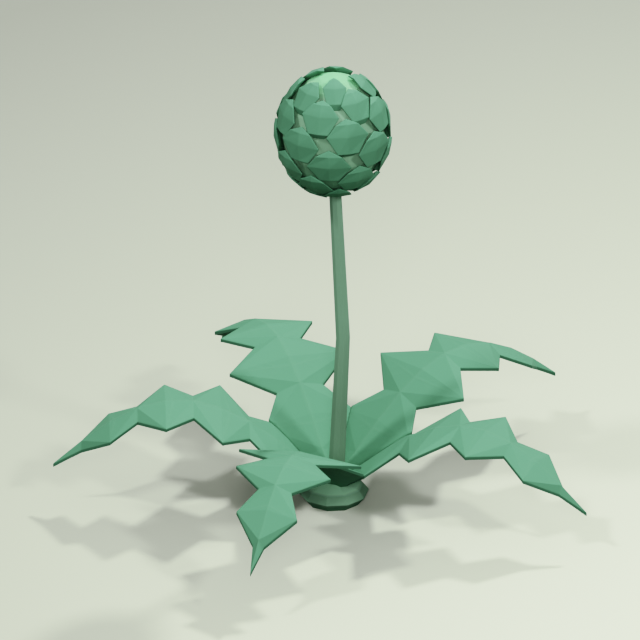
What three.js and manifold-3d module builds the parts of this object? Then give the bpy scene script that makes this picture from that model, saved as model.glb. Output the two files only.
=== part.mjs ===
// A whole globe artichoke plant, lifted clear of the ground and standing on its crown.
// Millimetres, +Z up, the front of the plant towards -Y. The origin is the centre of the crown's flat bottom.
import * as THREE from 'three';
import { mergeVertices } from 'three/addons/utils/BufferGeometryUtils.js';
import Module from 'manifold-3d';

const wasm = await Module();
wasm.setup();

// The clear gap between pieces that touch
const GAP = 0.3;

// Crown: a squat body with ten sides, given as rings of radius and height
const CROWN_SIDES = 10;
const CROWN_TURN = 6;
const CROWN_FOOT_RADIUS = 28;
const CROWN_WIDEST_RADIUS = 35.6;
const CROWN_WIDEST_HEIGHT = 9.3;
const CROWN_SHOULDER_RADIUS = 30.3;
const CROWN_SHOULDER_HEIGHT = 16.2;
const CROWN_SEAT_RADIUS = 12.5;
const CROWN_HEIGHT = 21.5;

// Stem: an eight-sided rod with one slight bend
const STEM_SIDES = 8;
const STEM_TURN = 12;
const STEM_FOOT_RADIUS = 8.6;
const STEM_BEND_RADIUS = 7.3;
const STEM_TOP_RADIUS = 6.3;
const STEM_FOOT_X = 2.6;
const STEM_BEND_X = 9.6;
const STEM_BEND_HEIGHT = 181;
const STEM_TOP_X = 1.5;
const STEM_SOCKET_DEPTH = 2;

// Leaf: stations run along the blade from the plant's axis (0) to the tip (1)
const LEAF_LENGTH = 282.5;
const LEAF_THICKNESS = 3.65;
const LEAF_STATIONS = [0.02, 0.1, 0.2, 0.3, 0.4, 0.5, 0.6, 0.7, 0.8, 0.9, 1];
// Half the blade's width at each station: four broad lobes with narrow necks between them, then the tip
const LEAF_HALF_WIDTHS = [14, 24, 49, 25, 64.2, 24.6, 49.7, 17.2, 31.9, 6, 0];
const LOBE_STATIONS = [0.2, 0.4, 0.6, 0.8];
const ARCH_START = 0.058;
const ARCH_FOOT = 25.4;
const ARCH_RISE = 83.9;
const MIDRIB_RAISE = 6.8;

// Each leaf's heading round the plant, its own size and how far its tip is lifted
const LEAVES = [
  { name: 'leaf_left', heading: 181.2, scale: 0.992, tipLift: -4.4 },
  { name: 'leaf_back_left', heading: 113.2, scale: 1.003, tipLift: 1.8 },
  { name: 'leaf_back_right', heading: 39.6, scale: 1.02, tipLift: -0.2 },
  { name: 'leaf_front_right', heading: -24.6, scale: 0.986, tipLift: -3.4 },
  { name: 'leaf_front', heading: -107.2, scale: 0.997, tipLift: 5.9 },
];

// Head: a pale egg-shaped heart with pointed bracts round it
const HEAD_X = -0.4;
const HEAD_HEIGHT = 411.7;
const HEART_RADIUS = 52;
const HEART_HALF_HEIGHT = 62.5;
const HEART_SIDES = 20;
const HEART_RINGS = 12;
const BRACT_SHELL_RADIUS = 59.5;
const BRACT_SHELL_HALF_HEIGHT = 67.6;
const BRACT_THICKNESS = 1.8;
const BRACT_ROOT_DEPTH = 3;
const BRACT_HALF_ANGLE = 21.7;
const BRACT_POLE_WIDENING = 0.25;
// The bracts follow one spiral downwards, turned by the golden angle and lowered a little at each step
const GOLDEN_ANGLE = 137.508;
const FIRST_BRACT = 0;
const LAST_BRACT = 37;
const SPIRAL_HEADING = -86.5;
const SPIRAL_TOP_LATITUDE = 63.7;
const SPIRAL_LATITUDE_STEP = 3.55;
// A bract's rows from its foot to its point: latitude from its middle, share of its half angle, share of the
// shell, and thickness at the crease. The foot bends inwards to the heart, and the edges are thin all round.
const BRACT_ROWS = [
  { latitude: -18.5, width: 0.28, reach: 0.9, crease: BRACT_ROOT_DEPTH },
  { latitude: -14.8, width: 0.5, reach: 0.976, crease: 8 },
  { latitude: 0.6, width: 1.04, reach: 1.002, crease: 9 },
  { latitude: 11.8, width: 0.6, reach: 1.004, crease: 5 },
  { latitude: 17.8, width: 0, reach: 0.974, crease: BRACT_THICKNESS },
];

const COLOURS = {
  crown: '#55826a',
  stem: '#5c8264',
  leaf: '#78b594',
  head: '#649f7d',
};

// A vertex list and a triangle list as one closed solid, so that pieces can be joined and cut
function toSolid(vertices, triangles) {
  return new wasm.Manifold(new wasm.Mesh({
    numProp: 3,
    vertProperties: new Float32Array(vertices.flat()),
    triVerts: new Uint32Array(triangles.flat()),
  }));
}

function geometryToSolid(geometry) {
  const bare = geometry.clone();
  bare.deleteAttribute('normal');
  bare.deleteAttribute('uv');
  const merged = mergeVertices(bare, 1e-4);
  return new wasm.Manifold(new wasm.Mesh({
    numProp: 3,
    vertProperties: new Float32Array(merged.attributes.position.array),
    triVerts: new Uint32Array(merged.index.array),
  }));
}

function solidToGeometry(solid) {
  const mesh = solid.getMesh();
  const geometry = new THREE.BufferGeometry();
  geometry.setAttribute('position', new THREE.BufferAttribute(new Float32Array(mesh.vertProperties), 3));
  geometry.setIndex(new THREE.BufferAttribute(new Uint32Array(mesh.triVerts), 1));
  return geometry;
}

function namedMesh(name, solid, colour) {
  const material = new THREE.MeshStandardMaterial({
    color: colour,
    roughness: 0.75,
    metalness: 0,
    flatShading: true,
  });
  const geometry = solidToGeometry(solid).toNonIndexed();
  geometry.computeVertexNormals();
  const mesh = new THREE.Mesh(geometry, material);
  mesh.name = name;
  return mesh;
}

const radians = THREE.MathUtils.degToRad;

// Rings of [x, radius, height] with flat sides between them and flat ends
function ringedSolid(rings, sides, turn) {
  const vertices = [];
  const triangles = [];
  for (const [x, radius, height] of rings) {
    for (let side = 0; side < sides; side += 1) {
      const angle = radians(turn) + (2 * Math.PI * side) / sides;
      vertices.push([x + radius * Math.cos(angle), radius * Math.sin(angle), height]);
    }
  }
  const last = (rings.length - 1) * sides;
  for (let ring = 0; ring < rings.length - 1; ring += 1) {
    for (let side = 0; side < sides; side += 1) {
      const low = ring * sides + side;
      const lowNext = ring * sides + ((side + 1) % sides);
      triangles.push([low, lowNext, low + sides], [lowNext, lowNext + sides, low + sides]);
    }
  }
  for (let side = 1; side < sides - 1; side += 1) {
    triangles.push([0, side + 1, side], [last, last + side, last + side + 1]);
  }
  return toSolid(vertices, triangles);
}

// The crown, or with a margin the room that the leaves leave clear round it
function crownSolid(margin) {
  return ringedSolid([
    [0, CROWN_FOOT_RADIUS + margin, -margin],
    [0, CROWN_WIDEST_RADIUS + margin, CROWN_WIDEST_HEIGHT],
    [0, CROWN_SHOULDER_RADIUS + margin, CROWN_SHOULDER_HEIGHT + margin],
    [0, CROWN_SEAT_RADIUS + margin, CROWN_HEIGHT + margin],
  ], CROWN_SIDES, CROWN_TURN);
}

// The stem from the crown up into its shallow socket, or with a margin the room that its neighbours leave clear
function stemSolid(margin) {
  return ringedSolid([
    [STEM_FOOT_X, STEM_FOOT_RADIUS + margin, CROWN_HEIGHT + GAP - margin],
    [STEM_BEND_X, STEM_BEND_RADIUS + margin, STEM_BEND_HEIGHT],
    [STEM_TOP_X, STEM_TOP_RADIUS + margin, HEAD_HEIGHT - HEART_HALF_HEIGHT + STEM_SOCKET_DEPTH + margin],
  ], STEM_SIDES, STEM_TURN);
}

// Height of the blade's edge above the ground at a station
function archHeight(station) {
  return ARCH_FOOT + ARCH_RISE * Math.sin(Math.PI * (station - ARCH_START));
}

// One arched blade in place: a raised midrib, lobed edges and a rim of even height
function bladeSolid(leaf) {
  const heading = radians(leaf.heading);
  const place = (station, across, raise) => {
    const out = LEAF_LENGTH * station * leaf.scale;
    const side = across * leaf.scale;
    return [
      out * Math.cos(heading) - side * Math.sin(heading),
      out * Math.sin(heading) + side * Math.cos(heading),
      (archHeight(station) + raise) * leaf.scale + leaf.tipLift * station,
    ];
  };
  const rows = LEAF_STATIONS.length - 1;
  const vertices = [];
  for (const drop of [0, LEAF_THICKNESS]) {
    for (let row = 0; row < rows; row += 1) {
      const width = LEAF_HALF_WIDTHS[row];
      vertices.push(place(LEAF_STATIONS[row], width, -drop));
      vertices.push(place(LEAF_STATIONS[row], 0, MIDRIB_RAISE - drop));
      vertices.push(place(LEAF_STATIONS[row], -width, -drop));
    }
    vertices.push(place(1, 0, MIDRIB_RAISE - drop));
  }
  const layer = 3 * rows + 1;
  const top = [];
  for (let row = 0; row < rows; row += 1) {
    const [left, rib, right] = [3 * row, 3 * row + 1, 3 * row + 2];
    if (row === rows - 1) {
      const point = 3 * rows;
      top.push([left, rib, point], [rib, right, point]);
      continue;
    }
    // A lobe's tip fans out to the midrib beside the necks on both sides of it
    if (LOBE_STATIONS.includes(LEAF_STATIONS[row])) {
      top.push([left, rib, rib + 3], [left, rib + 3, left + 3], [rib, right, rib + 3], [right, right + 3, rib + 3]);
    } else {
      top.push([left, rib, left + 3], [rib, rib + 3, left + 3], [rib, right, right + 3], [rib, right + 3, rib + 3]);
    }
  }
  const triangles = [...top];
  for (const [a, b, c] of top) {
    triangles.push([a + layer, c + layer, b + layer]);
  }
  const rim = [];
  for (let row = 0; row < rows; row += 1) {
    rim.push(3 * row + 2);
  }
  rim.push(3 * rows);
  for (let row = rows - 1; row >= 0; row -= 1) {
    rim.push(3 * row);
  }
  rim.push(1);
  rim.forEach((from, index) => {
    const to = rim[(index + 1) % rim.length];
    triangles.push([from, from + layer, to + layer], [from, to + layer, to]);
  });
  return toSolid(vertices, triangles);
}

// The sector of ground that one leaf keeps to: a tall wedge bounded midway to the leaves on each side
function sectorSolid(index) {
  const count = LEAVES.length;
  const own = LEAVES[index].heading;
  const next = LEAVES[(index + count - 1) % count].heading;
  const previous = LEAVES[(index + 1) % count].heading;
  const turnTo = (other, sign) => {
    const turn = ((((other - own) * sign) % 360) + 360) % 360;
    return radians(own) + (sign * radians(turn)) / 2;
  };
  const left = turnTo(next, 1);
  const right = turnTo(previous, -1);
  const reach = 2 * LEAF_LENGTH;
  const middle = (left + right) / 2;
  const offset = GAP / 2 / Math.sin((left - right) / 2);
  const start = [offset * Math.cos(middle), offset * Math.sin(middle)];
  const corners = [right, middle, left].map((angle) => [
    start[0] + reach * Math.cos(angle),
    start[1] + reach * Math.sin(angle),
  ]);
  const outline = [start, ...corners];
  const vertices = [
    ...outline.map(([x, y]) => [x, y, -reach]),
    ...outline.map(([x, y]) => [x, y, reach]),
  ];
  const triangles = [[0, 2, 1], [0, 3, 2], [4, 5, 6], [4, 6, 7]];
  for (let corner = 0; corner < 4; corner += 1) {
    const after = (corner + 1) % 4;
    triangles.push([corner, after, after + 4], [corner, after + 4, corner + 4]);
  }
  return toSolid(vertices, triangles);
}

function leafSolid(index) {
  return bladeSolid(LEAVES[index])
    .intersect(sectorSolid(index))
    .subtract(crownSolid(GAP))
    .subtract(stemSolid(GAP));
}

// A point of an egg-shaped shell round the head's centre, from its heading and latitude in degrees
function shellPoint(heading, latitude, radius, halfHeight) {
  const level = Math.cos(radians(latitude));
  return [
    HEAD_X + radius * level * Math.cos(radians(heading)),
    radius * level * Math.sin(radians(heading)),
    HEAD_HEIGHT + halfHeight * Math.sin(radians(latitude)),
  ];
}

function heartSolid() {
  const egg = new THREE.SphereGeometry(1, HEART_SIDES, HEART_RINGS);
  egg.rotateX(Math.PI / 2);
  egg.scale(HEART_RADIUS, HEART_RADIUS, HEART_HALF_HEIGHT);
  egg.translate(HEAD_X, 0, HEAD_HEIGHT);
  return geometryToSolid(egg);
}

// One bract: a creased, pointed plate, thin at its free edges and thick at its crease, with its foot in the heart
function bractSolid(step) {
  const heading = SPIRAL_HEADING - GOLDEN_ANGLE * step;
  const latitude = SPIRAL_TOP_LATITUDE - SPIRAL_LATITUDE_STEP * step;
  const halfAngle = BRACT_HALF_ANGLE / Math.cos(radians(latitude)) ** BRACT_POLE_WIDENING;
  const last = BRACT_ROWS.length - 1;
  const vertices = [];
  for (const inner of [false, true]) {
    BRACT_ROWS.forEach((row, index) => {
      for (const side of index === last ? [0] : [1, 0, -1]) {
        const depth = side === 0 ? row.crease : BRACT_THICKNESS;
        const inset = inner ? depth : 0;
        vertices.push(shellPoint(
          heading + side * halfAngle * row.width,
          latitude + row.latitude,
          BRACT_SHELL_RADIUS * row.reach - inset,
          BRACT_SHELL_HALF_HEIGHT * row.reach - inset,
        ));
      }
    });
  }
  const point = 3 * last;
  const layer = point + 1;
  const outer = [];
  for (let row = 0; row < last - 1; row += 1) {
    for (const low of [3 * row, 3 * row + 1]) {
      outer.push([low + 1, low, low + 3], [low + 1, low + 3, low + 4]);
    }
  }
  outer.push([point - 2, point - 3, point], [point - 1, point - 2, point]);
  const triangles = [...outer];
  for (const [a, b, c] of outer) {
    triangles.push([a + layer, c + layer, b + layer]);
  }
  const rim = [0, 1];
  for (let row = 0; row < last; row += 1) {
    rim.push(3 * row + 2);
  }
  rim.push(point);
  for (let row = last - 1; row > 0; row -= 1) {
    rim.push(3 * row);
  }
  rim.forEach((from, index) => {
    const to = rim[(index + 1) % rim.length];
    triangles.push([from, to, to + layer], [from, to + layer, from + layer]);
  });
  return toSolid(vertices, triangles);
}

function headSolid() {
  let head = heartSolid();
  for (let step = FIRST_BRACT; step <= LAST_BRACT; step += 1) {
    head = head.add(bractSolid(step));
  }
  return head.subtract(stemSolid(GAP));
}

const artichoke = new THREE.Group();
artichoke.name = 'globe_artichoke';
artichoke.add(namedMesh('crown', crownSolid(0), COLOURS.crown));
artichoke.add(namedMesh('stem', stemSolid(0), COLOURS.stem));
LEAVES.forEach((leaf, index) => {
  artichoke.add(namedMesh(leaf.name, leafSolid(index), COLOURS.leaf));
});
artichoke.add(namedMesh('head', headSolid(), COLOURS.head));

export default artichoke;
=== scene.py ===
# A whole globe artichoke plant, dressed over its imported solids: lobed leaves with veins, a ribbed stem,
# a faceted crown and pointed bracts round a pale heart.
# Metres, +Z up, the front of the plant towards -Y, standing on Z = 0.
import math

import bmesh
import bpy
import numpy as np
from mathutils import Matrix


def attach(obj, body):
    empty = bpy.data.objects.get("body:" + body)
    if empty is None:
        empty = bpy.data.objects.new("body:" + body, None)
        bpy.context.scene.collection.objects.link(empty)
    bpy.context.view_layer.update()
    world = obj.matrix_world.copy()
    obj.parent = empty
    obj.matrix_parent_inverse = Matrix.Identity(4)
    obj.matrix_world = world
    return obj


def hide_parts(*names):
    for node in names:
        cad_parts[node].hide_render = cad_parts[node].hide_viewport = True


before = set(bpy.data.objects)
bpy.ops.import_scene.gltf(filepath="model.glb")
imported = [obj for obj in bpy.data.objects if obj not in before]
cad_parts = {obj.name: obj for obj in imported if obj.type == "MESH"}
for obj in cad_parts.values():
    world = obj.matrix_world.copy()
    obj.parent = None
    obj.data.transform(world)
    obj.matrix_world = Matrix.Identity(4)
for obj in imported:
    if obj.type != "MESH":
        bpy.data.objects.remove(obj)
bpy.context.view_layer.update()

# Lengths are in metres, or times MM in millimetres, and angles in degrees
MM = 0.001

# Facets: how many steps a facet's side is divided into, and how narrow the strip along each crease is
LEAF_STEPS = 26
BRACT_STEPS = 10
CREASE_STEP = 0.42
# Points are told apart by a tenth of a micrometre, with an odd offset that keeps round values off the limit
MERGE_STEPS_A_METRE = 1e7
MERGE_OFFSET = 0.137

# Crown: ten sides, rings of radius and height. A tiny ring at each end is a share of the ring next to it, and
# each facet's side has a number of cells with a narrow strip at both ends, as on the heart
CROWN_SIDES = 10
CROWN_TURN = 6
CROWN_RINGS = [(28 * MM, 0), (35.6 * MM, 9.3 * MM), (30.3 * MM, 16.2 * MM), (12.5 * MM, 21.5 * MM)]
CROWN_END_SHARE = 0.01
CROWN_CELLS = 12
CROWN_STRIP = 0.03

# Head: a pale heart with bracts on one spiral that goes down by the golden angle
HEAD_CENTRE = (-0.4 * MM, 0, 411.7 * MM)
HEART_RADIUS = 52 * MM
HEART_HALF_HEIGHT = 62.5 * MM
HEART_SIDES = 20
HEART_RINGS = 12
HEART_END_SHARE = 0.004
HEART_CELLS = 5
HEART_STRIP = 0.04
SHELL_RADIUS = 59.5 * MM
SHELL_HALF_HEIGHT = 67.6 * MM
BRACT_THICKNESS = 1.2 * MM
BRACT_BEVEL = 0.16 * MM
BRACT_HALF_ANGLE = 21.7
BRACT_POLE_WIDENING = 0.25
GOLDEN_ANGLE = 137.508
FIRST_BRACT = 0
LAST_BRACT = 37
SPIRAL_HEADING = -86.5
SPIRAL_TOP_LATITUDE = 63.7
SPIRAL_LATITUDE_STEP = 3.55
# A bract's rows from foot to point: latitude from its middle, share of its half angle, share of the shell
# and thickness at the crease
BRACT_ROWS = [
    (-18.5, 0.28, 0.9, 3 * MM),
    (-14.8, 0.5, 0.976, 8 * MM),
    (0.6, 1.04, 1.002, 9 * MM),
    (11.8, 0.6, 1.004, 5 * MM),
    (17.8, 0, 0.974, 1.2 * MM),
]
# The places across a bract and along it that the points of its wall take
BRACT_WALL_PLACE = (0, 0.5)

# Stem: eight sides, rings of sideways place, radius and height
STEM_SIDES = 8
STEM_TURN = 12
STEM_SOCKET_DEPTH = 2 * MM
STEM_FOOT = (2.6 * MM, 8.6 * MM, 21.8 * MM)
STEM_BEND = (9.6 * MM, 7.3 * MM, 181 * MM)
STEM_TOP = (1.5 * MM, 6.3 * MM, HEAD_CENTRE[2] - HEART_HALF_HEIGHT + STEM_SOCKET_DEPTH)
STEM_LEVELS_BELOW_BEND = 45
STEM_LEVELS_ABOVE_BEND = 47
STEM_CELLS = 22
STEM_STRIP = 0.05
STEM_RIB_HEIGHT = 0.14 * MM
STEM_RIBS_A_SIDE = 4

# Leaf: stations run along the blade from the plant's axis (0) to the tip (1). The half widths at them are in
# millimetres, and the lobe rows number the stations where a lobe is widest.
LEAF_LENGTH = 282.5 * MM
LEAF_THICKNESS = 3.65 * MM
LEAF_STATIONS = [0.02, 0.1, 0.2, 0.3, 0.4, 0.5, 0.6, 0.7, 0.8, 0.9, 1]
LEAF_HALF_WIDTHS = [14, 24, 49, 25, 64.2, 24.6, 49.7, 17.2, 31.9, 6, 0]
LOBE_ROWS = [2, 4, 6, 8]
ARCH_START = 0.058
ARCH_FOOT = 25.4 * MM
ARCH_RISE = 83.9 * MM
MIDRIB_RAISE = 6.8 * MM
LEAF_BEVEL = 0.32 * MM
# Each leaf's heading round the plant in degrees, its own size and how far its tip is lifted
LEAVES = [
    ("leaf_left", 181.2, 0.992, -4.4 * MM),
    ("leaf_back_left", 113.2, 1.003, 1.8 * MM),
    ("leaf_back_right", 39.6, 1.02, -0.2 * MM),
    ("leaf_front_right", -24.6, 0.986, -3.4 * MM),
    ("leaf_front", -107.2, 0.997, 5.9 * MM),
]
LEAF_GAP = 0.3 * MM
CUT_TOLERANCE = 1e-7

# Veins: relief on the blade's upper side and a broader one on its underside
VEIN_HEIGHT = 0.22 * MM
VEIN_WIDTH = 1.1 * MM
UNDER_RIB_HEIGHT = 0.9 * MM
UNDER_RIB_WIDTH = 2.6 * MM
# The midrib: its width at the foot and what it loses to the tip, in vein widths, and the strength it loses
MIDRIB_FOOT_WIDTH = 1.5
MIDRIB_WIDTH_LOSS = 0.9
MIDRIB_FADE = 0.5
# A side vein: its strength, how it narrows and fades, and how far before the lobe's tip it leaves the
# midrib, as a share of the lobe's half width
SIDE_VEIN_STRENGTH = 0.8
SIDE_VEIN_NARROWING = 0.6
SIDE_VEIN_FADE = 0.7
SIDE_VEIN_SLANT = 0.15
# A thin vein: its strength and width, the places where it leaves the side vein, and how far it goes along
# the blade and across it
THIN_VEIN_STRENGTH = 0.45
THIN_VEIN_WIDTH = 0.6
THIN_VEIN_STARTS = (0.22, 0.45, 0.66)
THIN_VEIN_ALONG = 0.42
THIN_VEIN_ACROSS = 0.62

# Skins: their colour, their blotches and the grain in their surface, and the painted light and shade on them
SPECULAR_LEVEL = 0.1
GRAIN_SCALE = 900
GRAIN_DETAIL = 2
GRAIN_STRENGTH = 0.25
BLOTCH_DETAIL = 3
FIBRE_DETAIL = 2
FIBRE_STRENGTH = 0.5
FIBRE_DEPTH = 0.08 * MM
LEAF_SKIN = {
    "colour": (0.113, 0.26, 0.166),
    "blotch_colour": (0.105, 0.244, 0.154),
    "blotch_scale": 14,
    "blotch_amount": 0.4,
    "roughness": 0.7,
    "grain_depth": 0.1 * MM,
}
LEAF_VEIN_COLOUR = (0.2, 0.36, 0.24)
LEAF_VEIN_FULL = 12
# Painted shade: the blade's cut edges, the plate's wall, are darkened as if little light reached them
LEAF_EDGE_PAINTED_SHADE = (0.07, 0.165, 0.105)
LEAF_FIBRES = 300
LEAF_FIBRE_LENGTH = 0.05
BRACT_SKIN = {
    "colour": (0.117, 0.264, 0.171),
    "blotch_colour": (0.109, 0.248, 0.158),
    "blotch_scale": 14,
    "blotch_amount": 0.4,
    "roughness": 0.7,
    "grain_depth": 0.1 * MM,
}
# Painted light: the upper part of each bract is made paler, as if lit, by its rise
BRACT_TIP_PAINTED_LIGHT = (0.128, 0.288, 0.187)
BRACT_TIP_LIGHT_RANGE = (0.5, 0.7)
# Painted shade low on the head, growing from the first height down to the second
BRACT_LOW_PAINTED_SHADE = (0.062, 0.158, 0.098)
BRACT_LOW_SHADE_RANGE = (385 * MM, 345 * MM)
# Painted shade on the bracts' cut edges, the plates' walls
BRACT_EDGE_PAINTED_SHADE = (0.075, 0.18, 0.115)
BRACT_FIBRES = 30
BRACT_FIBRE_LENGTH = 0.5
HEART_SKIN = {
    "colour": (0.25, 0.425, 0.29),
    "blotch_colour": (0.235, 0.4, 0.27),
    "blotch_scale": 20,
    "blotch_amount": 0.4,
    "roughness": 0.7,
    "grain_depth": 0.1 * MM,
}
# Painted light: a mint highlight on the heart's top, growing from the first height up to the second
HEART_TOP_PAINTED_LIGHT = (0.226, 0.61, 0.3)
HEART_TOP_LIGHT_RANGE = (462 * MM, 474 * MM)
# Painted shade on the heart low down, in the gaps between the lower bracts
HEART_LOW_PAINTED_SHADE = (0.175, 0.36, 0.23)
HEART_LOW_SHADE_RANGE = (400 * MM, 370 * MM)
STEM_SKIN = {
    "colour": (0.2, 0.33, 0.235),
    "blotch_colour": (0.19, 0.31, 0.22),
    "blotch_scale": 18,
    "blotch_amount": 0.4,
    "roughness": 0.7,
    "grain_depth": 0.1 * MM,
}
# Painted shade on the stem's lower part among the leaves, growing from the first height down to the second
STEM_LOW_PAINTED_SHADE = (0.145, 0.228, 0.163)
STEM_LOW_SHADE_RANGE = (205 * MM, 100 * MM)
CROWN_SKIN = {
    "colour": (0.182, 0.312, 0.217),
    "blotch_colour": (0.165, 0.277, 0.19),
    "blotch_scale": 30,
    "blotch_amount": 0.5,
    "roughness": 0.75,
    "grain_depth": 0.2 * MM,
}
# Painted light on the crown's top facets under the leaves, growing from the first height up to the second
CROWN_TOP_PAINTED_LIGHT = (0.37, 0.62, 0.44)
CROWN_TOP_LIGHT_RANGE = (15.9 * MM, 17.4 * MM)
# Painted shade on the crown below its widest ring, near the ground
CROWN_LOW_PAINTED_SHADE = (0.11, 0.235, 0.148)
CROWN_LOW_SHADE_RANGE = (9.5 * MM, 6 * MM)

# Floor: a painted pool of light, brightest at a place to the front right, that fades with the distance from
# it, with two different reaches: one along a heading in degrees and one across it
FLOOR_HALF_SIZE = 12
FLOOR_BRIGHTEST = 1.61
FLOOR_LIGHT_POOL_PLACE = (1.82, -1.65, 0)
FLOOR_FADE_HEADING = 38.7
FLOOR_FADE_REACH = (1.585, 2.617, 1)
FLOOR_DARKEST = 0.28
FLOOR_PALEST = 0.87
FLOOR_COLOUR = (0.945, 1, 0.855)
FLOOR_BOUNCE_COLOUR = (0.06, 0.066, 0.056)

# Light: the share of the light on the floor that comes from an even sky, from a sky that grows brighter
# overhead, and from each broad lamp by its heading, elevation and width in degrees
SKY_SHARE = 0.139
OVERHEAD_SHARE = 0.122
# A sky that grows evenly with height gives a level floor two thirds of its peak
OVERHEAD_PEAK = 1.5
LAMPS = [
    ("lamp back right", 54, 45, 0.31, 4.5),
    ("lamp left", 200, 52, 0.185, 6),
    ("lamp front right", 324, 38, 0.138, 6),
    ("lamp front", 270, 28, 0.105, 15),
]

# Camera: level sideways, looking down at an elevation in degrees, with no perspective
CAMERA_ELEVATION = 27.02
CAMERA_WIDTH = 0.64
CAMERA_DISTANCE = 3
CAMERA_TARGET = (-13.41 * MM, 81.23 * MM, 159.29 * MM)

# Tone: how the picture's brightness follows the light
EXPOSURE = 2.4
TONE_TOE = 0.025
TONE_TOP = 0.984
TONE_MIDDLE = 0.433
TONE_FOOT = 0.238
TONE_POINTS = 24
ALL_CHANNELS_CURVE = 3
# Bright light turns slightly warm: above a start, red and blue lose a share of what they gain
WARM_START = 0.25
WARM_STEPS = 10
RED_CURVE = 0
BLUE_CURVE = 2
WARM_LOSSES = ((RED_CURVE, 0.125), (BLUE_CURVE, 0.33))


# Shared shapes

def facet_grid(steps):
    """The corner weights and small triangles of one triangular facet.

    A point stands i, j and k steps from the facet's three sides, with i + j + k = steps. Its weights are
    those three numbers, the number 1 made smaller so that a narrow strip follows each side, divided by their
    sum.
    """
    share = np.arange(steps + 1.0)
    share[1] = CREASE_STEP
    every = np.arange(steps + 1)
    i, j = np.nonzero(np.add.outer(every, every) <= steps)
    weights = np.stack([share[i], share[j], share[steps - i - j]], axis=1)
    weights /= weights.sum(axis=1, keepdims=True)
    number = np.zeros((steps + 1, steps + 1), int)
    number[i, j] = np.arange(len(i))
    a, b = i[i + j < steps], j[i + j < steps]
    outer = np.stack([number[a, b], number[a + 1, b], number[a, b + 1]], axis=1)
    a, b = i[i + j < steps - 1], j[i + j < steps - 1]
    inner = np.stack([number[a + 1, b], number[a + 1, b + 1], number[a, b + 1]], axis=1)
    return weights, np.concatenate([outer, inner])


def fine_facets(corners, facets, steps):
    """Flat triangular facets divided into small triangles, with the points on shared sides merged.

    A point is the sum of its facet's three corners times their weights.
    """
    weights, small = facet_grid(steps)
    points = np.einsum("pc,fcd->fpd", weights, corners[facets])
    first = len(weights) * np.arange(len(facets))
    triangles = (small[None] + first[:, None, None]).reshape(-1, 3)
    points = points.reshape(-1, corners.shape[1])
    keys = np.round(points * MERGE_STEPS_A_METRE + MERGE_OFFSET).astype(np.int64)
    _, keep, place = np.unique(keys, axis=0, return_index=True, return_inverse=True)
    return points[keep], place.reshape(-1)[triangles]


def plate(outer, inner, triangles, bevel, thickness):
    """A closed plate between an outer and an inner layer of the same points.

    Round the open edge both layers stand back by the bevel along the wall, and the wall has a narrow strip
    next to each of them, so that smooth shading rounds the edges and leaves the wall's middle flat. The last
    array returned is 1 on the wall's points and 0 on the others.
    """
    count = len(outer)
    start = triangles[:, [0, 1, 2]].reshape(-1)
    end = triangles[:, [1, 2, 0]].reshape(-1)
    open_edge = ~np.isin(start * count + end, end * count + start)
    start, end = start[open_edge], end[open_edge]
    rim = np.unique(start)
    share = bevel / thickness
    depths = (share, 2 * share, 1 - 2 * share, 1 - share)
    rows = [outer[rim] + (inner[rim] - outer[rim]) * depth for depth in depths]
    outer, inner = outer.copy(), inner.copy()
    outer[rim], inner[rim] = rows[0], rows[3]
    points = np.concatenate([outer, inner, rows[1], rows[2]])
    place = np.zeros(count, int)
    place[rim] = np.arange(len(rim))
    ladder = [
        lambda point: point,
        lambda point: 2 * count + place[point],
        lambda point: 2 * count + len(rim) + place[point],
        lambda point: count + point,
    ]
    walls = [
        np.stack([above(start), below(start), below(end), above(end)], axis=1)
        for above, below in zip(ladder[:-1], ladder[1:])
    ]
    walls = np.concatenate(walls)
    walls = np.concatenate([walls[:, [0, 1, 2]], walls[:, [0, 2, 3]]])
    on_wall = np.repeat([0.0, 1.0], [2 * count, 2 * len(rim)])
    return points, np.concatenate([triangles, triangles[:, ::-1] + count, walls]), on_wall


def ring_shell(rings, columns, rows):
    """A grid of points on the flat facets between rings of corners, row by row.

    Between two rings and two neighbouring corners a point is the straight mean of the four corners by its
    share along the row and the column.
    """
    rings = np.asarray(rings, float)
    sides = rings.shape[1]
    around = (np.arange(sides)[:, None] + np.asarray(columns)[None]).reshape(-1)
    column = around.astype(int)
    part = (around - column)[None, :, None]
    rows_at = [ring + share for ring in range(len(rings) - 1) for share in rows] + [len(rings) - 1]
    up = np.asarray(rows_at, float)
    row = np.minimum(up.astype(int), len(rings) - 2)
    rise = (up - row)[:, None, None]
    left = rings[row][:, column] * (1 - rise) + rings[row + 1][:, column] * rise
    after = (column + 1) % sides
    right = rings[row][:, after] * (1 - rise) + rings[row + 1][:, after] * rise
    return left * (1 - part) + right * part


def closed_grid(grid):
    """Points and triangles of a grid that closes round on itself, each end closed by a middle point."""
    rows, columns = grid.shape[:2]
    points = np.concatenate([grid.reshape(-1, 3), grid[:1].mean(axis=1), grid[-1:].mean(axis=1)])
    number = np.arange(rows * columns).reshape(rows, columns)
    after = np.roll(number, -1, axis=1)
    low, low_next = number[:-1].reshape(-1), after[:-1].reshape(-1)
    high, high_next = number[1:].reshape(-1), after[1:].reshape(-1)
    foot, top = rows * columns, rows * columns + 1
    triangles = np.concatenate([
        np.stack([low, low_next, high_next], axis=1),
        np.stack([low, high_next, high], axis=1),
        np.stack([after[0], number[0], np.full(columns, foot)], axis=1),
        np.stack([number[-1], after[-1], np.full(columns, top)], axis=1),
    ])
    return points, triangles


def edge_shares(cells, strip):
    """Shares along a facet from 0 up to, but not including, 1, with a narrow strip at each end."""
    return [0] + list(np.linspace(strip, 1 - strip, cells))


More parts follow.
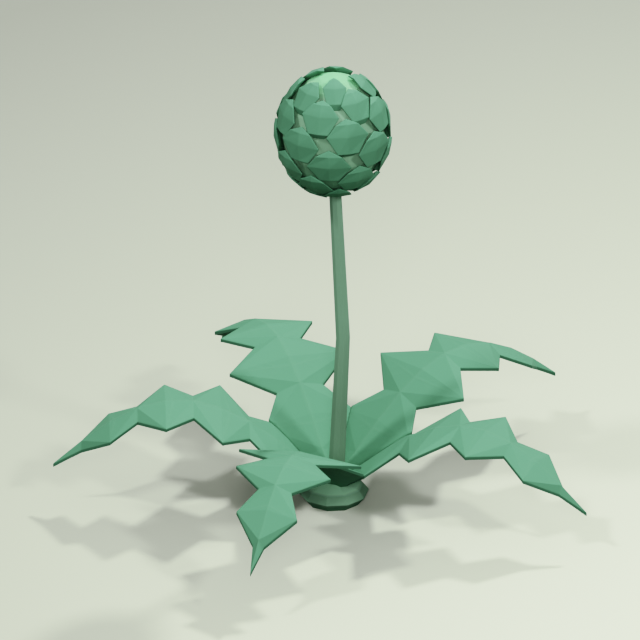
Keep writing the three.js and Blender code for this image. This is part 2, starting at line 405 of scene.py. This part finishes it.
def make_piece(name, points, triangles, material, nodes, values=None):
    """A smooth-shaded mesh object in place, with named values on its points, riding on the root body."""
    mesh = bpy.data.meshes.new(name)
    mesh.vertices.add(len(points))
    mesh.vertices.foreach_set("co", np.ascontiguousarray(points, np.float32).reshape(-1))
    mesh.loops.add(3 * len(triangles))
    mesh.loops.foreach_set("vertex_index", np.ascontiguousarray(triangles, np.int32).reshape(-1))
    mesh.polygons.add(len(triangles))
    mesh.polygons.foreach_set("loop_start", np.arange(0, 3 * len(triangles), 3, dtype=np.int32))
    mesh.polygons.foreach_set("use_smooth", np.ones(len(triangles), bool))
    mesh.update(calc_edges=True)
    for key, value in (values or {}).items():
        layer = mesh.attributes.new(key, "FLOAT", "POINT")
        layer.data.foreach_set("value", np.ascontiguousarray(value, np.float32))
    mesh.validate()
    mesh.materials.append(material)
    piece = bpy.data.objects.new(name, mesh)
    bpy.context.scene.collection.objects.link(piece)
    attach(piece, "root")
    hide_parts(*nodes)
    return piece


def ridge(distance, width):
    """A rounded ridge of height 1: e to the power of minus the squared share of distance in width."""
    return np.exp(-((distance / width) ** 2))


# Leaf

def leaf_corners():
    """A blade's corners before it is turned into place: along the blade, across it and up.

    At a station the edge stands at the arch's foot plus its rise times the sine of pi times the way from
    the arch's start. The midrib stands a fixed amount above the edge.
    """
    stations = np.array(LEAF_STATIONS)
    edge = ARCH_FOOT + ARCH_RISE * np.sin(np.pi * (stations - ARCH_START))
    along = stations * LEAF_LENGTH
    width = np.array(LEAF_HALF_WIDTHS) * MM
    left = np.stack([along, width, edge], axis=1)[:-1]
    rib = np.stack([along, 0 * along, edge + MIDRIB_RAISE], axis=1)
    right = left * [1, -1, 1]
    corners = np.stack([left, rib[:-1], right], axis=1).reshape(-1, 3)
    return np.concatenate([corners, rib[-1:]])


def leaf_facets():
    """The blade's facets: a lobe's tip fans out to the midrib beside the necks on both sides of it."""
    rows = len(LEAF_STATIONS) - 1
    facets = []
    for row in range(rows):
        left, rib, right = 3 * row, 3 * row + 1, 3 * row + 2
        if row == rows - 1:
            facets += [(left, rib, 3 * rows), (rib, right, 3 * rows)]
        elif row in LOBE_ROWS:
            facets += [(left, rib, rib + 3), (left, rib + 3, left + 3)]
            facets += [(rib, right, rib + 3), (right, right + 3, rib + 3)]
        else:
            facets += [(left, rib, left + 3), (rib, rib + 3, left + 3)]
            facets += [(rib, right, right + 3), (rib, right + 3, rib + 3)]
    return np.array(facets)


def distance_to_line(points, start, end):
    """Distance from points to a line between two places, and the share of the line passed, 0 to 1."""
    line = end - start
    share = np.clip(((points - start) @ line) / (line @ line), 0, 1)
    return np.linalg.norm(points - start - share[:, None] * line, axis=1), share


def leaf_veins(flat, width):
    """Strength of the veins, 0 to about 1, at points given along and across the blade.

    The midrib runs from foot to tip. A side vein runs from it to each lobe's tip, and thinner ones leave it
    on each side towards the lobe's margins. Each is a ridge over the distance from its line, fading towards
    its end, and the strongest one counts. The midrib and the side veins also narrow towards their ends.
    """
    along = flat[:, 0] / LEAF_LENGTH
    midrib_width = width * (MIDRIB_FOOT_WIDTH - MIDRIB_WIDTH_LOSS * along)
    strength = ridge(flat[:, 1], midrib_width) * (1 - MIDRIB_FADE * along)
    across = np.abs(flat[:, 1])
    folded = np.stack([flat[:, 0], across], axis=1)
    for row in LOBE_ROWS:
        station, half = LEAF_STATIONS[row] * LEAF_LENGTH, LEAF_HALF_WIDTHS[row] * MM
        tip = np.array([station, half])
        root = np.array([station - SIDE_VEIN_SLANT * half, 0])
        distance, share = distance_to_line(folded, root, tip)
        side_vein = ridge(distance, width * (1 - SIDE_VEIN_NARROWING * share))
        strength = np.maximum(strength, SIDE_VEIN_STRENGTH * side_vein * (1 - SIDE_VEIN_FADE * share))
        for side in (-1, 1):
            for leave in THIN_VEIN_STARTS:
                start = root + leave * (tip - root)
                end = start + half * (1 - leave) * np.array([side * THIN_VEIN_ALONG, THIN_VEIN_ACROSS])
                distance, share = distance_to_line(folded, start, end)
                thin = THIN_VEIN_STRENGTH * ridge(distance, THIN_VEIN_WIDTH * width) * (1 - share)
                strength = np.maximum(strength, thin)
    return strength


def cut_to_sector(points, triangles, wall, index):
    """The mesh cut by two upright planes midway to the neighbouring leaves, with the cut ends closed.

    Each plane stands half the leaves' gap inside the heading midway to the neighbour. The wall value on the
    points is carried through the cut.
    """
    own = LEAVES[index][1]
    shape = bmesh.new()
    mesh = bpy.data.meshes.new("cut")
    mesh.from_pydata(points.tolist(), [], triangles.tolist())
    mesh.attributes.new("wall", "FLOAT", "POINT").data.foreach_set("value", wall.astype(np.float32))
    shape.from_mesh(mesh)
    for side, other in ((1, index - 1), (-1, (index + 1) % len(LEAVES))):
        between = (side * (LEAVES[other][1] - own)) % 360
        limit = math.radians(own + side * between / 2)
        outward = np.array([-side * math.sin(limit), side * math.cos(limit), 0])
        everything = shape.verts[:] + shape.edges[:] + shape.faces[:]
        cut = bmesh.ops.bisect_plane(
            shape,
            geom=everything,
            dist=CUT_TOLERANCE,
            plane_co=(-outward * LEAF_GAP / 2).tolist(),
            plane_no=outward.tolist(),
            clear_outer=True,
        )
        edges = [item for item in cut["geom_cut"] if isinstance(item, bmesh.types.BMEdge)]
        bmesh.ops.triangle_fill(shape, use_beauty=True, edges=edges)
    bmesh.ops.recalc_face_normals(shape, faces=shape.faces[:])
    bmesh.ops.triangulate(shape, faces=shape.faces[:])
    shape.to_mesh(mesh)
    shape.free()
    cut_points = np.zeros(3 * len(mesh.vertices), np.float32)
    mesh.vertices.foreach_get("co", cut_points)
    cut_faces = np.zeros(3 * len(mesh.polygons), np.int32)
    mesh.polygons.foreach_get("vertices", cut_faces)
    cut_wall = np.zeros(len(mesh.vertices), np.float32)
    mesh.attributes["wall"].data.foreach_get("value", cut_wall)
    bpy.data.meshes.remove(mesh)
    return cut_points.reshape(-1, 3).astype(float), cut_faces.reshape(-1, 3), cut_wall


def build_leaf(index, material):
    """One arched, lobed blade, turned to its heading and cut to its own sector of the ground.

    The upper side is raised by the vein height times the veins' strength. The underside is lowered by the
    thickness and by the under-rib height times the strength of broader veins.
    """
    name, heading, scale, tip_lift = LEAVES[index]
    points, triangles = fine_facets(leaf_corners(), leaf_facets(), LEAF_STEPS)
    upper, lower = points.copy(), points.copy()
    upper[:, 2] += VEIN_HEIGHT * leaf_veins(points[:, :2], VEIN_WIDTH)
    lower[:, 2] -= LEAF_THICKNESS + UNDER_RIB_HEIGHT * leaf_veins(points[:, :2], UNDER_RIB_WIDTH)
    solid, faces, wall = plate(upper, lower, triangles, LEAF_BEVEL, LEAF_THICKNESS)
    turn = math.radians(heading)
    placed = np.stack([
        scale * (solid[:, 0] * math.cos(turn) - solid[:, 1] * math.sin(turn)),
        scale * (solid[:, 0] * math.sin(turn) + solid[:, 1] * math.cos(turn)),
        scale * solid[:, 2] + tip_lift * solid[:, 0] / LEAF_LENGTH,
    ], axis=1)
    placed, faces, wall = cut_to_sector(placed, faces, wall, index)
    back = np.stack([
        placed[:, 0] * math.cos(turn) + placed[:, 1] * math.sin(turn),
        placed[:, 1] * math.cos(turn) - placed[:, 0] * math.sin(turn),
    ], axis=1) / scale
    values = {
        "vein": leaf_veins(back, VEIN_WIDTH),
        "along": back[:, 0] / LEAF_LENGTH,
        "across": back[:, 1] / LEAF_LENGTH,
        "wall": wall,
    }
    return make_piece(f"{name}_blade", placed, faces, material, [name], values)


# Head

def egg_point(heading, latitude, radius, half_height):
    """Points of an egg round the head's centre, from headings and latitudes in degrees.

    A point lies the radius times the latitude's cosine out along its heading, and the half height times the
    latitude's sine above the centre.
    """
    heading, latitude = np.radians(heading), np.radians(latitude)
    level = radius * np.cos(latitude)
    return np.stack([
        HEAD_CENTRE[0] + level * np.cos(heading),
        HEAD_CENTRE[1] + level * np.sin(heading),
        HEAD_CENTRE[2] + half_height * np.sin(latitude),
    ], axis=-1)


def bract_facets():
    """A bract's facets: two columns of quadrilaterals, each halved, and two that end in the point."""
    last = len(BRACT_ROWS) - 1
    facets = []
    for row in range(last - 1):
        for low in (3 * row, 3 * row + 1):
            facets += [(low + 1, low, low + 3), (low + 1, low + 3, low + 4)]
    point = 3 * last
    facets += [(point - 2, point - 3, point), (point - 1, point - 2, point)]
    return np.array(facets)


def build_bracts(material):
    """All bracts in one mesh. Each is a creased plate whose corners lie on an egg-shaped shell.

    A bract's middle turns by the golden angle and goes down by one latitude step from the bract before. Its
    half angle is divided by a power of the latitude's cosine. The inner corners lie their depth inside the
    outer ones.
    """
    facets = bract_facets()
    rows = np.array(BRACT_ROWS)
    last = len(rows) - 1
    side = np.array([1, 0, -1] * last + [0])
    row = np.append(np.repeat(np.arange(last), 3), last)
    depth = np.where(side == 0, rows[row, 3], BRACT_THICKNESS)
    all_points, all_faces, all_marks = [], [], []
    total = 0
    for step in range(FIRST_BRACT, LAST_BRACT + 1):
        heading = SPIRAL_HEADING - GOLDEN_ANGLE * step
        latitude = SPIRAL_TOP_LATITUDE - SPIRAL_LATITUDE_STEP * step
        half_angle = BRACT_HALF_ANGLE / math.cos(math.radians(latitude)) ** BRACT_POLE_WIDENING
        headings = heading + side * half_angle * rows[row, 1]
        latitudes = latitude + rows[row, 0]
        reach = rows[row, 2]
        radius, half_height = SHELL_RADIUS * reach, SHELL_HALF_HEIGHT * reach
        outer = egg_point(headings, latitudes, radius, half_height)
        inner = egg_point(headings, latitudes, radius - depth, half_height - depth)
        rise = (rows[row, 0] - rows[0, 0]) / (rows[-1, 0] - rows[0, 0])
        marks = np.stack([side * rows[row, 1], rise], axis=1)
        both = np.concatenate([outer, inner, marks], axis=1)
        points, triangles = fine_facets(both, facets, BRACT_STEPS)
        solid, faces, wall = plate(points[:, :3], points[:, 3:6], triangles, BRACT_BEVEL, BRACT_THICKNESS)
        wall_points = len(solid) - 2 * len(points)
        wall_marks = np.tile([BRACT_WALL_PLACE], (wall_points, 1))
        marks = np.concatenate([points[:, 6:], points[:, 6:], wall_marks])
        all_points.append(solid)
        all_faces.append(faces + total)
        all_marks.append(np.concatenate([marks, wall[:, None]], axis=1))
        total += len(solid)
    marks = np.concatenate(all_marks)
    values = {"across": marks[:, 0], "rise": marks[:, 1], "wall": marks[:, 2]}
    points, faces = np.concatenate(all_points), np.concatenate(all_faces)
    return make_piece("head_bracts", points, faces, material, ["head"], values)


def build_heart(material):
    """The pale heart: an egg with flat facets between rings of corners, with a tiny ring at each end."""
    latitudes = np.linspace(-90, 90, HEART_RINGS + 1)[1:-1]
    headings = np.arange(HEART_SIDES) * 360 / HEART_SIDES
    rings = [
        egg_point(headings, np.full(HEART_SIDES, latitude), HEART_RADIUS, HEART_HALF_HEIGHT)
        for latitude in latitudes
    ]
    foot = np.array(HEAD_CENTRE) - [0, 0, HEART_HALF_HEIGHT]
    top = np.array(HEAD_CENTRE) + [0, 0, HEART_HALF_HEIGHT]
    foot_ring = foot + (rings[0] - foot) * HEART_END_SHARE
    top_ring = top + (rings[-1] - top) * HEART_END_SHARE
    shares = edge_shares(HEART_CELLS, HEART_STRIP)
    points, triangles = closed_grid(ring_shell([foot_ring] + rings + [top_ring], shares, shares))
    return make_piece("head_heart", points, triangles, material, ["head"])


# Stem

def build_stem(material):
    """The stem: an eight-sided ring carried up a path with one slight bend, with fine ribs along its sides.

    Between the foot, the bend and the top, the ring's middle and radius change evenly with height. The ring
    is drawn in by the rib height times 1 minus the squared sine of pi times the ribs passed along the side.
    """
    sideways, radii, heights = np.array([STEM_FOOT, STEM_BEND, STEM_TOP]).T
    below = np.linspace(heights[0], heights[1], STEM_LEVELS_BELOW_BEND)
    above = np.linspace(heights[1], heights[2], STEM_LEVELS_ABOVE_BEND)[1:]
    levels = np.concatenate([below, above])
    middle = np.interp(levels, heights, sideways)
    radius = np.interp(levels, heights, radii)
    shares = np.array(edge_shares(STEM_CELLS, STEM_STRIP))
    around = (np.arange(STEM_SIDES)[:, None] + shares[None]).reshape(-1)
    side = around.astype(int)
    part = around - side
    corner = np.radians(STEM_TURN) + 2 * np.pi * np.arange(STEM_SIDES + 1) / STEM_SIDES
    profile = np.stack([
        np.cos(corner[side]) * (1 - part) + np.cos(corner[side + 1]) * part,
        np.sin(corner[side]) * (1 - part) + np.sin(corner[side + 1]) * part,
    ], axis=1)
    rib = np.sin(np.pi * part * STEM_RIBS_A_SIDE) ** 2 - 1
    swell = 1 + STEM_RIB_HEIGHT * rib[None, :, None] / radius[:, None, None]
    flat = profile[None] * radius[:, None, None] * swell
    grid = np.concatenate([flat, np.broadcast_to(levels[:, None, None], flat.shape[:2] + (1,))], axis=2)
    grid[:, :, 0] += middle[:, None]
    points, triangles = closed_grid(grid)
    return make_piece("stem_skin", points, triangles, material, ["stem"])


# Crown

def build_crown(material):
    """The crown: flat facets between rings of ten corners, with a tiny ring at its bottom and its top."""
    corner = np.radians(CROWN_TURN) + 2 * np.pi * np.arange(CROWN_SIDES) / CROWN_SIDES
    foot_radius, foot_height = CROWN_RINGS[0]
    seat_radius, seat_height = CROWN_RINGS[-1]
    bottom = (foot_radius * CROWN_END_SHARE, foot_height)
    seat = (seat_radius * CROWN_END_SHARE, seat_height)
    rings = [
        np.stack([radius * np.cos(corner), radius * np.sin(corner), np.full(CROWN_SIDES, height)], axis=1)
        for radius, height in [bottom] + CROWN_RINGS + [seat]
    ]
    shares = edge_shares(CROWN_CELLS, CROWN_STRIP)
    points, triangles = closed_grid(ring_shell(rings, shares, shares))
    return make_piece("crown_skin", points, triangles, material, ["crown"])


# Finishes

def new_group(name, inputs, outputs):
    """An empty shader node group with named float or colour inputs and outputs."""
    group = bpy.data.node_groups.new(name, "ShaderNodeTree")
    for label, kind, value in inputs:
        socket = group.interface.new_socket(label, in_out="INPUT", socket_type=kind)
        socket.default_value = value
    for label, kind in outputs:
        group.interface.new_socket(label, in_out="OUTPUT", socket_type=kind)
    return group, group.nodes.new("NodeGroupInput"), group.nodes.new("NodeGroupOutput")


def mottle_group():
    """Soft blotches and fine specks: mixes a colour towards a second one, and puts out a bump height."""
    group, source, result = new_group(
        "plant skin mottle",
        [
            ("Color", "NodeSocketColor", (0.5, 0.5, 0.5, 1)),
            ("Blotch Color", "NodeSocketColor", (0.5, 0.5, 0.5, 1)),
            ("Blotch Scale", "NodeSocketFloat", 20),
            ("Blotch Amount", "NodeSocketFloat", 0.3),
            ("Grain Scale", "NodeSocketFloat", GRAIN_SCALE),
        ],
        [("Color", "NodeSocketColor"), ("Height", "NodeSocketFloat")],
    )
    nodes, links = group.nodes, group.links
    place = nodes.new("ShaderNodeTexCoord")
    blotch = nodes.new("ShaderNodeTexNoise")
    blotch.inputs["Detail"].default_value = BLOTCH_DETAIL
    grain = nodes.new("ShaderNodeTexNoise")
    grain.inputs["Detail"].default_value = GRAIN_DETAIL
    amount = nodes.new("ShaderNodeMath")
    amount.operation = "MULTIPLY"
    mix = nodes.new("ShaderNodeMix")
    mix.data_type = "RGBA"
    links.new(place.outputs["Object"], blotch.inputs["Vector"])
    links.new(place.outputs["Object"], grain.inputs["Vector"])
    links.new(source.outputs["Blotch Scale"], blotch.inputs["Scale"])
    links.new(source.outputs["Grain Scale"], grain.inputs["Scale"])
    links.new(blotch.outputs["Fac"], amount.inputs[0])
    links.new(source.outputs["Blotch Amount"], amount.inputs[1])
    links.new(amount.outputs[0], mix.inputs["Factor"])
    links.new(source.outputs["Color"], mix.inputs["A"])
    links.new(source.outputs["Blotch Color"], mix.inputs["B"])
    links.new(mix.outputs["Result"], result.inputs["Color"])
    links.new(grain.outputs["Fac"], result.inputs["Height"])
    return group


SKIN_MOTTLE = mottle_group()


def skin_material(name, colour, blotch_colour, blotch_scale, blotch_amount, roughness, grain_depth):
    """A matte plant skin: mottled colour and a fine grain in its surface."""
    material = bpy.data.materials.new(name)
    material.use_nodes = True
    nodes, links = material.node_tree.nodes, material.node_tree.links
    shader = nodes["Principled BSDF"]
    shader.inputs["Roughness"].default_value = roughness
    shader.inputs["Specular IOR Level"].default_value = SPECULAR_LEVEL
    mottle = nodes.new("ShaderNodeGroup")
    mottle.node_tree = SKIN_MOTTLE
    mottle.inputs["Color"].default_value = colour + (1,)
    mottle.inputs["Blotch Color"].default_value = blotch_colour + (1,)
    mottle.inputs["Blotch Scale"].default_value = blotch_scale
    mottle.inputs["Blotch Amount"].default_value = blotch_amount
    bump = nodes.new("ShaderNodeBump")
    bump.inputs["Strength"].default_value = GRAIN_STRENGTH
    bump.inputs["Distance"].default_value = grain_depth
    links.new(mottle.outputs["Color"], shader.inputs["Base Color"])
    links.new(mottle.outputs["Height"], bump.inputs["Height"])
    links.new(bump.outputs["Normal"], shader.inputs["Normal"])
    return material


def tint(material, factor, colour):
    """Mixes the skin's colour towards another one by a factor socket."""
    nodes, links = material.node_tree.nodes, material.node_tree.links
    base = nodes["Principled BSDF"].inputs["Base Color"]
    mix = nodes.new("ShaderNodeMix")
    mix.data_type = "RGBA"
    mix.inputs["B"].default_value = colour + (1,)
    before = base.links[0].from_socket
    links.new(factor, mix.inputs["Factor"])
    links.new(before, mix.inputs["A"])
    links.new(mix.outputs["Result"], base)


def point_value(material, name, low, high):
    """A value kept on the mesh's points, mapped from its low and high to 0 and 1."""
    nodes, links = material.node_tree.nodes, material.node_tree.links
    value = nodes.new("ShaderNodeAttribute")
    value.attribute_name = name
    spread = nodes.new("ShaderNodeMapRange")
    spread.inputs["From Min"].default_value = low
    spread.inputs["From Max"].default_value = high
    links.new(value.outputs["Fac"], spread.inputs["Value"])
    return spread.outputs["Result"]


def height_share(material, low, high):
    """The share of the way from one level above the ground to another."""
    nodes, links = material.node_tree.nodes, material.node_tree.links
    place = nodes.new("ShaderNodeTexCoord")
    split = nodes.new("ShaderNodeSeparateXYZ")
    spread = nodes.new("ShaderNodeMapRange")
    spread.inputs["From Min"].default_value = low
    spread.inputs["From Max"].default_value = high
    links.new(place.outputs["Object"], split.inputs["Vector"])
    links.new(split.outputs["Z"], spread.inputs["Value"])
    return spread.outputs["Result"]


def add_fibres(material, across, along, count, length):
    """A relief of streaks along a part, from two values kept on its points, under the skin's grain."""
    nodes, links = material.node_tree.nodes, material.node_tree.links
    side = point_value(material, across, 0, 1 / count)
    side.node.clamp = False
    way = point_value(material, along, 0, length)
    way.node.clamp = False
    place = nodes.new("ShaderNodeCombineXYZ")
    noise = nodes.new("ShaderNodeTexNoise")
    noise.inputs["Scale"].default_value = 1
    noise.inputs["Detail"].default_value = FIBRE_DETAIL
    bump = nodes.new("ShaderNodeBump")
    bump.inputs["Strength"].default_value = FIBRE_STRENGTH
    bump.inputs["Distance"].default_value = FIBRE_DEPTH
    grain = nodes["Principled BSDF"].inputs["Normal"].links[0].from_node
    links.new(side, place.inputs["X"])
    links.new(way, place.inputs["Y"])
    links.new(place.outputs["Vector"], noise.inputs["Vector"])
    links.new(noise.outputs["Fac"], bump.inputs["Height"])
    links.new(bump.outputs["Normal"], grain.inputs["Normal"])


def leaf_finish():
    """Green leaf skin with paler veins, painted shade on its cut edges, and fibres that run from foot to tip.
    """
    skin = skin_material("leaf skin", **LEAF_SKIN)
    tint(skin, point_value(skin, "vein", 0, LEAF_VEIN_FULL), LEAF_VEIN_COLOUR)
    # Painted shade on the cut edges, by the wall value
    tint(skin, point_value(skin, "wall", 0, 1), LEAF_EDGE_PAINTED_SHADE)
    add_fibres(skin, "across", "along", LEAF_FIBRES, LEAF_FIBRE_LENGTH)
    return skin


def bract_finish():
    """Bract skin with painted light on its upper parts, painted shade on its edges and low on the head, and
    fibres.
    """
    skin = skin_material("bract skin", **BRACT_SKIN)
    # Painted light on the bracts' upper parts
    tint(skin, point_value(skin, "rise", *BRACT_TIP_LIGHT_RANGE), BRACT_TIP_PAINTED_LIGHT)
    # Painted shade low on the head
    tint(skin, height_share(skin, *BRACT_LOW_SHADE_RANGE), BRACT_LOW_PAINTED_SHADE)
    # Painted shade on the bracts' edges, by the wall value
    tint(skin, point_value(skin, "wall", 0, 1), BRACT_EDGE_PAINTED_SHADE)
    add_fibres(skin, "across", "rise", BRACT_FIBRES, BRACT_FIBRE_LENGTH)
    return skin


def heart_finish():
    """Pale heart skin with a painted mint highlight at its top and painted shade low down."""
    skin = skin_material("heart skin", **HEART_SKIN)
    # Painted highlight on the heart's top
    tint(skin, height_share(skin, *HEART_TOP_LIGHT_RANGE), HEART_TOP_PAINTED_LIGHT)
    # Painted shade on the heart low down
    tint(skin, height_share(skin, *HEART_LOW_SHADE_RANGE), HEART_LOW_PAINTED_SHADE)
    return skin


def stem_finish():
    """Stem skin with painted shade that grows towards its foot."""
    skin = skin_material("stem skin", **STEM_SKIN)
    # Painted shade on the stem's lower part
    tint(skin, height_share(skin, *STEM_LOW_SHADE_RANGE), STEM_LOW_PAINTED_SHADE)
    return skin


def crown_finish():
    """Crown skin with painted light on its top facets and painted shade below its widest ring."""
    skin = skin_material("crown skin", **CROWN_SKIN)
    # Painted light on the crown's top facets
    tint(skin, height_share(skin, *CROWN_TOP_LIGHT_RANGE), CROWN_TOP_PAINTED_LIGHT)
    # Painted shade on the crown's lower part
    tint(skin, height_share(skin, *CROWN_LOW_SHADE_RANGE), CROWN_LOW_PAINTED_SHADE)
    return skin


def floor_finish():
    """The pale studio floor, with a painted pool of light that leaves it darker towards the back left. It
    sends little light back up to the plant.

    Its brightness is the brightest value times e to the power of minus the squared distance from the bright
    place, in reaches, kept between the darkest and the palest value.
    """
    material = bpy.data.materials.new("studio floor")
    material.use_nodes = True
    nodes, links = material.node_tree.nodes, material.node_tree.links
    shader = nodes["Principled BSDF"]
    shader.inputs["Roughness"].default_value = 1
    shader.inputs["Specular IOR Level"].default_value = 0
    # Painted pool of light: brightest at its place, fading with the distance from it
    place = nodes.new("ShaderNodeTexCoord")
    turned = nodes.new("ShaderNodeMapping")
    turned.vector_type = "TEXTURE"
    turned.inputs["Location"].default_value = FLOOR_LIGHT_POOL_PLACE
    turned.inputs["Rotation"].default_value = (0, 0, math.radians(FLOOR_FADE_HEADING))
    turned.inputs["Scale"].default_value = FLOOR_FADE_REACH
    square = nodes.new("ShaderNodeVectorMath")
    square.operation = "DOT_PRODUCT"
    fade = nodes.new("ShaderNodeMath")
    fade.operation = "POWER"
    fade.inputs[0].default_value = math.exp(-1)
    tone = nodes.new("ShaderNodeMath")
    tone.operation = "MULTIPLY"
    tone.inputs[1].default_value = FLOOR_BRIGHTEST
    limit = nodes.new("ShaderNodeClamp")
    limit.inputs["Min"].default_value = FLOOR_DARKEST
    limit.inputs["Max"].default_value = FLOOR_PALEST
    colour = nodes.new("ShaderNodeVectorMath")
    colour.operation = "SCALE"
    colour.inputs[0].default_value = FLOOR_COLOUR
    bounce = nodes.new("ShaderNodeMix")
    bounce.data_type = "RGBA"
    bounce.inputs["B"].default_value = FLOOR_BOUNCE_COLOUR + (1,)
    ray = nodes.new("ShaderNodeLightPath")
    links.new(place.outputs["Object"], turned.inputs["Vector"])
    links.new(turned.outputs["Vector"], square.inputs[0])
    links.new(turned.outputs["Vector"], square.inputs[1])
    links.new(square.outputs["Value"], fade.inputs[1])
    links.new(fade.outputs[0], tone.inputs[0])
    links.new(tone.outputs[0], limit.inputs["Value"])
    links.new(limit.outputs["Result"], colour.inputs["Scale"])
    links.new(ray.outputs["Is Diffuse Ray"], bounce.inputs["Factor"])
    links.new(colour.outputs["Vector"], bounce.inputs["A"])
    links.new(bounce.outputs["Result"], shader.inputs["Base Color"])
    return material


# Floor, light, camera and tone

def build_floor():
    """A level square floor on Z = 0."""
    mesh = bpy.data.meshes.new("floor")
    signs = ((-1, -1), (1, -1), (1, 1), (-1, 1))
    mesh.from_pydata([(x * FLOOR_HALF_SIZE, y * FLOOR_HALF_SIZE, 0) for x, y in signs], [], [(0, 1, 2, 3)])
    mesh.materials.append(floor_finish())
    floor = bpy.data.objects.new("floor", mesh)
    bpy.context.scene.collection.objects.link(floor)


def light_sky():
    """A white sky, even below the horizon and growing brighter from there to overhead."""
    world = bpy.data.worlds.new("studio")
    world.use_nodes = True
    bpy.context.scene.world = world
    nodes, links = world.node_tree.nodes, world.node_tree.links
    background = nodes["Background"]
    background.inputs["Color"].default_value = (1, 1, 1, 1)
    place = nodes.new("ShaderNodeTexCoord")
    split = nodes.new("ShaderNodeSeparateXYZ")
    strength = nodes.new("ShaderNodeMapRange")
    strength.inputs["To Min"].default_value = SKY_SHARE
    strength.inputs["To Max"].default_value = SKY_SHARE + OVERHEAD_PEAK * OVERHEAD_SHARE
    links.new(place.outputs["Generated"], split.inputs["Vector"])
    links.new(split.outputs["Z"], strength.inputs["Value"])
    links.new(strength.outputs["Result"], background.inputs["Strength"])


def add_lamp(name, heading, elevation, share, softness):
    """A distant broad lamp that adds its share to the light on the level floor.

    Its energy is pi times the share, divided by the sine of its elevation.
    """
    light = bpy.data.lights.new(name, "SUN")
    raised = math.radians(elevation)
    light.energy = math.pi * share / math.sin(raised)
    light.angle = math.radians(softness)
    holder = bpy.data.objects.new(name, light)
    bpy.context.scene.collection.objects.link(holder)
    holder.rotation_euler = (math.pi / 2 - raised, 0, math.radians(heading) + math.pi / 2)


def place_camera():
    """A camera at its distance from the target, in front of it and raised by the elevation."""
    camera = bpy.data.cameras.new("camera")
    camera.type = "ORTHO"
    camera.ortho_scale = CAMERA_WIDTH
    view = bpy.data.objects.new("camera", camera)
    bpy.context.scene.collection.objects.link(view)
    raised = math.radians(CAMERA_ELEVATION)
    view.location = (
        CAMERA_TARGET[0],
        CAMERA_TARGET[1] - CAMERA_DISTANCE * math.cos(raised),
        CAMERA_TARGET[2] + CAMERA_DISTANCE * math.sin(raised),
    )
    view.rotation_euler = (math.pi / 2 - raised, 0, 0)
    bpy.context.scene.camera = view


def photographic_tone(light):
    """Display brightness of an amount of light: darks are deepened and brights roll off softly.

    With x the light times the exposure, it is x (x + toe) / (x (top x + middle) + foot).
    """
    x = EXPOSURE * light
    return x * (x + TONE_TOE) / (x * (TONE_TOP * x + TONE_MIDDLE) + TONE_FOOT)


def set_tone():
    """The picture's curves: one for all channels, with closer points in the darks, and a warm one for two."""
    settings = bpy.context.scene.view_settings
    settings.view_transform = "Standard"
    settings.use_curve_mapping = True
    curves = settings.curve_mapping.curves
    tone = curves[ALL_CHANNELS_CURVE]
    tone.points[0].location = (0, 0)
    tone.points[1].location = (1, photographic_tone(1))
    for light in np.linspace(0, 1, TONE_POINTS)[1:-1] ** 2:
        tone.points.new(light, photographic_tone(light))
    for channel, loss in WARM_LOSSES:
        curve = curves[channel]
        curve.points[0].location = (0, 0)
        curve.points[1].location = (1, 1 - loss * (1 - WARM_START))
        for light in np.linspace(0, 1, WARM_STEPS + 1)[1:-1]:
            curve.points.new(light, light - loss * max(0, light - WARM_START))
    settings.curve_mapping.update()


leaf_material = leaf_finish()
for leaf_index in range(len(LEAVES)):
    build_leaf(leaf_index, leaf_material)
build_bracts(bract_finish())
build_heart(heart_finish())
build_stem(stem_finish())
build_crown(crown_finish())
build_floor()
light_sky()
for lamp in LAMPS:
    add_lamp(*lamp)
place_camera()
set_tone()
